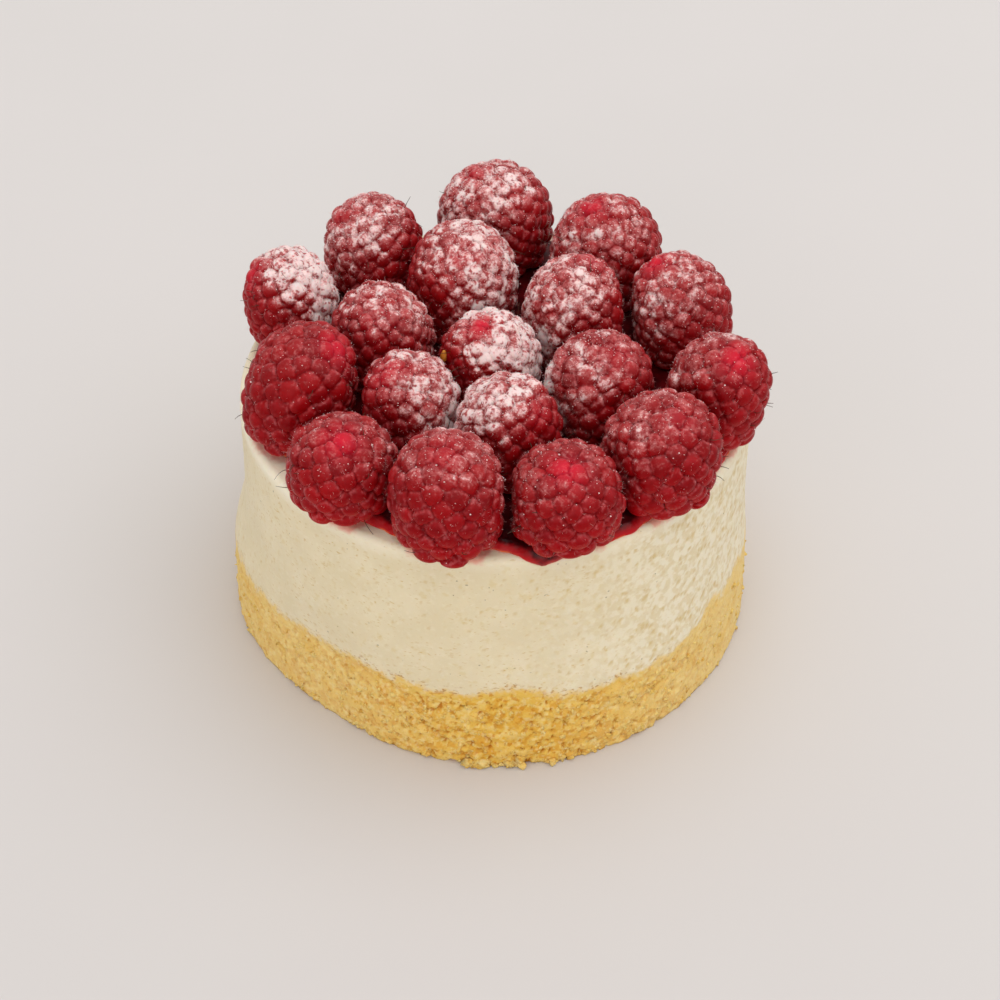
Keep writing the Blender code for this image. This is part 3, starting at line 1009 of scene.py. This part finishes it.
def make_berry(index, ball, triangles, finish):
    """One berry: a thimble of domed drupelets. Returns what the sugar and the hairs need of it."""
    berry, coat = BERRIES[index], COATS[index]
    draw = np.random.default_rng(index)
    places = drupelet_places(berry, DRUPELET * coat.fine, draw)
    radii, heights, passed = berry_profile(berry)
    walls = walls_round(index)

    def skin(radius, height, turn):
        axis = axis_point(berry, height)
        out = polar(np.degrees(turn), radius, 0 * height)
        return kept_clear(walls, axis, out)

    def skin_at(share, turn):
        return skin(thimble(share) * berry.width, share * berry.height, turn)

    middles = skin_at(*places.T)
    share = (1 - ball[:, 2]) / 2
    radius = np.interp(share, passed, radii)
    height = np.interp(share, passed, heights)
    turn = np.arctan2(ball[:, 1], ball[:, 0])
    bare = skin(radius, height, turn)
    normal = normals_of(bare, triangles)

    apart = np.linalg.norm(middles[:, None] - middles[None], axis=2)
    spacing = np.sort(apart, axis=1)[:, 1:6].mean(axis=1)
    rise = DOME * (spacing / DRUPELET) * draw.uniform(0.8, 1.15, len(middles))
    pull = (draw.uniform(0.0, 0.5, len(middles)) * spacing) ** 2

    def nearest(places):
        """Each place's drupelet, the distance to it and to the furrow, and the way across that."""
        away = np.linalg.norm(places[:, None] - middles[None], axis=2)
        power = away**2 - pull
        first, second = np.argpartition(power, 1, axis=1)[:, :2].T
        each = np.arange(len(places))
        swapped = power[each, first] > power[each, second]
        first, second = np.where(swapped, second, first), np.where(swapped, first, second)
        across = middles[second] - middles[first]
        length = np.linalg.norm(across, axis=1)
        gap = (power[each, second] - power[each, first]) / (2 * length)
        return first, away[each, first], gap, across / length[:, None]

    owner, away, gap, across = nearest(bare)
    bare = bare + across * np.where(gap < FURROW_PULL, gap, 0)[:, None]
    owner, away, gap, across = nearest(bare)
    fall = (away / (DOME_SPREAD * spacing[owner])) ** 2
    round_top = np.sqrt(np.maximum(1 - fall, LOWEST_DOME**2))
    edge = np.sqrt(1 - np.exp(-np.maximum(gap, 0) / FURROW_WIDTH))
    dome = rise[owner] * round_top * (1 - FURROW_DEPTH + FURROW_DEPTH * edge)
    points = bare + normal * (dome - DOME + CREST_RISE)[:, None]
    points[:, 2] = np.maximum(points[:, 2], BERRY_SEAT)

    fine = normals_of(points, triangles)
    flank = normal @ polar(coat.side, 1.0, 0)
    up = 0.45 * normal[:, 2] + 0.55 * fine[:, 2]
    overhead = fine[:, 2] - 0.7 * normal[:, 2]
    # how deep in a furrow each point lies; the flesh is painted darker there, as shade
    furrow = 1 - round_top * (0.6 + 0.4 * edge)
    # painted light: a patch near the tip, painted brighter crimson, with less sugar on it
    tip = axis_point(berry, berry.height) + polar(coat.turn, coat.off, -0.12 * coat.off**1.5)
    blush = coat.blush * patch_at(tip, bare, TIP_LIGHT_REACH)
    dust = coat.cover * smoothstep(-0.15, 0.8, up + 0.5 * flank)
    for drift in DRIFTS:
        if drift.berry == index + 1:
            middle = skin_at(np.full(1, drift.share), math.radians(drift.turn))
            dust = dust + DRIFT_COVER * patch_at(middle, bare, drift.reach)
    dust = np.minimum(dust, 1.1) * (1 - 0.45 * furrow) * (1 - 0.85 * blush)
    tone = draw.uniform(0, 1, len(middles))
    number = f"{index + 1:02d}"
    add_piece(
        f"berry_{number}",
        points,
        triangles.tolist(),
        finish,
        "raspberry",
        [f"raspberry_{number}"],
        tone=tone[owner],
        furrow=furrow,
        # painted highlight: where pale lines along the drupelets' upper edges are painted
        rim=np.exp(-(((gap - 0.30) / 0.16) ** 2)) * smoothstep(-0.4, 0.3, overhead),
        # painted highlight: where the upper sides of the drupelets are painted pale pink
        sheen=smoothstep(0.05, 0.5, overhead) * smoothstep(0.2, 0.6, gap),
        blush=blush,
        up=up,
        dust=dust,
    )
    return points, fine, dust


# Grains of sugar: octahedrons with ragged corners. A few are larger.
GRAIN_CORNERS = np.array([(1, 0, 0), (0, 1, 0), (-1, 0, 0), (0, -1, 0), (0, 0, 1), (0, 0, -1.0)])
GRAIN_FACES = np.array(
    [(0, 1, 4), (1, 2, 4), (2, 3, 4), (3, 0, 4), (1, 0, 5), (2, 1, 5), (3, 2, 5), (0, 3, 5)]
)
GRAINS = 11000
GRAIN_SIZES = (0.05, 0.13)
LARGE_SHARE = 0.07
LARGE_GRAIN = 1.7
GRAIN_SHIFT = 0.12


def make_sugar(skins, triangles, finish):
    """Small grains and clumps of sugar that lie on the berries, most where the dusting is thick."""
    draw = np.random.default_rng(31)
    places, weights = [], []
    for points, normals, dust in skins:
        area = np.linalg.norm(face_normals(points, triangles), axis=1) / 2
        facing = np.clip(normals[triangles].mean(axis=1)[:, 2] + 0.25, 0, 1)
        weights.append(area * (dust[triangles].mean(axis=1) ** 1.5 + 0.035) * facing)
        places.append(points[triangles].mean(axis=1))
    places = np.concatenate(places)
    weights = np.concatenate(weights)
    chosen = draw.choice(len(places), GRAINS, p=weights / weights.sum())
    sizes = draw.uniform(*GRAIN_SIZES, GRAINS)
    sizes *= np.where(draw.uniform(size=GRAINS) > 1 - LARGE_SHARE, LARGE_GRAIN, 1.0)
    shift = draw.normal(0, GRAIN_SHIFT, (GRAINS, 3))
    shift[:, 2] = 0
    middles = places[chosen] + shift
    count = len(GRAIN_CORNERS)
    shapes = GRAIN_CORNERS * draw.uniform(0.6, 1.2, (GRAINS, count, 1)) * sizes[:, None, None]
    points = (middles[:, None] + shapes).reshape(-1, 3)
    faces = (GRAIN_FACES + np.arange(GRAINS)[:, None, None] * count).reshape(-1, 3)
    add_piece("sugar_grains", points, faces.tolist(), finish, "raspberry")


# Hairs: a short pale fuzz, a few long brown ones at random, and those that stand out in the photo,
# each on a berry, at a turn in degrees and a share of its height, with a length in mm and a curl.
HairSort = namedtuple("HairSort", "each shortest longest radius curl steps")
FUZZ = HairSort(320, 0.25, 0.6, 0.020, 0.25, 3)
STYLES = HairSort(8, 0.7, 1.8, 0.08, 0.45, 6)
Hair = namedtuple("Hair", "berry turn share length curl")
HAIRLESS_FOOT = 1.5
HAIR_SIDES = 3
HAIR_TAPER = 0.45
HAIRS_SEEN = table(
    Hair,
    (14, 186, 0.62, 0.9, 0.1), (14, 182, 0.40, 2.0, -0.9), (14, 188, 0.18, 1.9, 0.35),
    (13, 190, 0.20, 1.4, -0.5), (13, 178, 0.60, 1.1, 0.4), (13, 172, 0.75, 1.2, -0.3),
    (17, -6, 0.42, 1.3, 0.2), (17, -9, 0.32, 1.5, -0.1), (17, -12, 0.22, 1.3, -0.5),
    (18, 4, 0.62, 1.0, 0.3), (18, 0, 0.48, 0.9, -0.2), (18, -5, 0.34, 1.0, 0.1),
    (10, 176, 0.70, 1.0, 0.4), (11, 8, 0.66, 0.9, -0.3),
)


def tube(path, radius):
    """Points of a thin tube that tapers along a path."""
    turns = np.arange(HAIR_SIDES) * math.tau / HAIR_SIDES
    rings = []
    for step, place in enumerate(path):
        ahead = path[min(step + 1, len(path) - 1)] - path[max(step - 1, 0)]
        ahead = ahead / math.sqrt(ahead @ ahead)
        across = np.array([ahead[1], -ahead[0], 0.001])
        across /= math.sqrt(across @ across)
        over = np.array([-ahead[2] * across[1], ahead[2] * across[0], 1.0])
        size = radius * (1 - HAIR_TAPER * step / (len(path) - 1))
        ring = np.outer(np.cos(turns), across) + np.outer(np.sin(turns), over)
        rings.append(place + size * ring)
    return np.concatenate(rings)


def add_hairs(name, paths, radius, finish):
    """One piece of many tubes, whose paths all have as many steps."""
    tubes = [tube(path, radius) for path in paths]
    sides = ring_faces(len(paths[0]), HAIR_SIDES)
    starts = range(0, len(tubes) * len(tubes[0]), len(tubes[0]))
    faces = [[corner + start for corner in face] for start in starts for face in sides]
    add_piece(name, np.concatenate(tubes), faces, finish, "raspberry")


def hair_path(root, out, length, bend, steps):
    """Points of a hair that starts a little under the skin and bends as it goes out."""
    along = np.linspace(0, 1, steps)[:, None]
    return root - 0.1 * out + length * along * out + length * along**2 * bend


def scattered_hairs(skins, sort, draw):
    """Paths of hairs of one sort at random, most of them on the berries' flanks."""
    paths = []
    for points, normals, _ in skins:
        likely = np.clip(1.1 - np.abs(normals[:, 2] - 0.1), 0, 1)
        likely *= points[:, 2] > BERRY_SEAT + HAIRLESS_FOOT
        for spot in draw.choice(len(points), sort.each, p=likely / likely.sum()):
            length = draw.uniform(sort.shortest, sort.longest)
            bend = draw.normal(0, sort.curl, 3)
            paths.append(hair_path(points[spot], normals[spot], length, bend, sort.steps))
    return paths


def spot_on(skins, index, turn, share):
    """The point of a berry's skin at a turn in degrees and a share of its height."""
    points, berry = skins[index][0], BERRIES[index]
    height = share * berry.height
    arm = points - axis_point(berry, height)
    off = (np.degrees(np.arctan2(arm[:, 1], arm[:, 0])) - turn + 180) % 360 - 180
    spot = (np.abs(off) * 0.1 + np.abs(points[:, 2] - BERRY_SEAT - height)).argmin()
    return points[spot]


def make_hairs(skins, fuzz_finish, style_finish):
    """The berries' fuzz and their brown styles."""
    draw = np.random.default_rng(41)
    add_hairs("berry_fuzz", scattered_hairs(skins, FUZZ, draw), FUZZ.radius, fuzz_finish)
    paths = scattered_hairs(skins, STYLES, draw)
    for hair in HAIRS_SEEN:
        root = spot_on(skins, hair.berry - 1, hair.turn, hair.share)
        bend = np.array([0, -0.2, hair.curl])
        paths.append(hair_path(root, polar(hair.turn, 1.0, 0.1), hair.length, bend, STYLES.steps))
    add_hairs("berry_styles", paths, STYLES.radius, style_finish)


# The seed that lies on the middle berry's left flank
SEED_SPOT = (196, 0.62)
SEED_SIZE = (0.55, 0.6, 1.05)
SEED_OUT = 0.15


def make_seed(skins, finish):
    """A wrinkled drop, half sunk in the berry."""
    ball, triangles = ball_of(3)
    root = spot_on(skins, 0, *SEED_SPOT) + polar(SEED_SPOT[0], SEED_OUT, 0)
    taper = 1 - 0.35 * ball[:, 2:]
    wrinkles = 1 + 0.06 * lumps(ball, 0.3)[:, None]
    points = ball * SEED_SIZE * np.hstack([taper, taper, np.ones_like(taper)]) * wrinkles
    add_piece("berry_seed", points + root, triangles.tolist(), finish, "raspberry")


# Camera, floor and light, in mm for the lens, in degrees for the tilt and in m for the rest
LENS = 126.0
SENSOR = 36.0
CAMERA_PLACE = (0.0007228, -0.415295, 0.401670)
CAMERA_TILT = 47.366
FLOOR_HALF = 3.0
SKY_COLOUR = (1.0, 0.992, 0.98, 1)
SKY_STRENGTH = 0.80
LIT_POINT = (0, 0, 0.03)
Lamp = namedtuple("Lamp", "name place size power tint")
LAMPS = (
    Lamp("window", (0.22, -0.05, 0.80), 0.80, 2.8, (1.0, 0.995, 0.985)),
    Lamp("fill", (-0.20, -0.82, 0.34), 0.70, 1.5, (1.0, 0.99, 0.98)),
)


def make_camera():
    data = bpy.data.cameras.new("camera")
    data.lens = LENS
    data.sensor_width = SENSOR
    camera = placed("camera", data)
    camera.location = CAMERA_PLACE
    camera.rotation_euler = (math.radians(CAMERA_TILT), 0, 0)
    bpy.context.scene.camera = camera


def add_light(lamp):
    """A square light that faces the cake."""
    data = bpy.data.lights.new(lamp.name, "AREA")
    data.size = lamp.size
    data.energy = lamp.power
    data.color = lamp.tint
    light = placed(lamp.name, data)
    light.location = lamp.place
    away = Vector(lamp.place) - Vector(LIT_POINT)
    light.rotation_euler = away.to_track_quat("Z", "Y").to_euler()


def make_studio():
    """A pale floor, an even sky and two soft lights."""
    mesh = bpy.data.meshes.new("floor")
    corners = ((-1, -1), (1, -1), (1, 1), (-1, 1))
    corners = [(x * FLOOR_HALF, y * FLOOR_HALF, 0) for x, y in corners]
    mesh.from_pydata(corners, [], [(0, 1, 2, 3)])
    mesh.materials.append(floor_finish())
    floor = placed("floor", mesh)
    world = bpy.data.worlds.new("sky")
    world.use_nodes = True
    sky = world.node_tree.nodes["Background"].inputs
    sky["Color"].default_value = SKY_COLOUR
    sky["Strength"].default_value = SKY_STRENGTH
    bpy.context.scene.world = world
    for lamp in LAMPS:
        add_light(lamp)
    bpy.context.scene.view_settings.view_transform = "Standard"


def main():
    make_camera()
    make_studio()
    crumb = side_finish("baked_crumb", False)
    crust = make_crumb_base(crumb)
    make_stuck_crumbs(crumb, crust)
    make_cream(side_finish("set_cream", True))
    make_jam(jam_finish())
    ball, triangles = ball_of(BERRY_BALL)
    flesh = raspberry_finish()
    skins = [make_berry(index, ball, triangles, flesh) for index in range(len(BERRIES))]
    make_sugar(skins, triangles, sugar_finish())
    fuzz = plain_finish("pale_fuzz", colour(236, 196, 192), colour(220, 160, 156), 0.6, 0.6)
    styles = plain_finish("dry_styles", colour(80, 52, 28), colour(54, 38, 22), 0.6, 0.5)
    make_hairs(skins, fuzz, styles)
    seed = plain_finish("dry_seed", colour(232, 158, 52), colour(206, 122, 34), 0.4, 0.5)
    make_seed(skins, seed)


main()
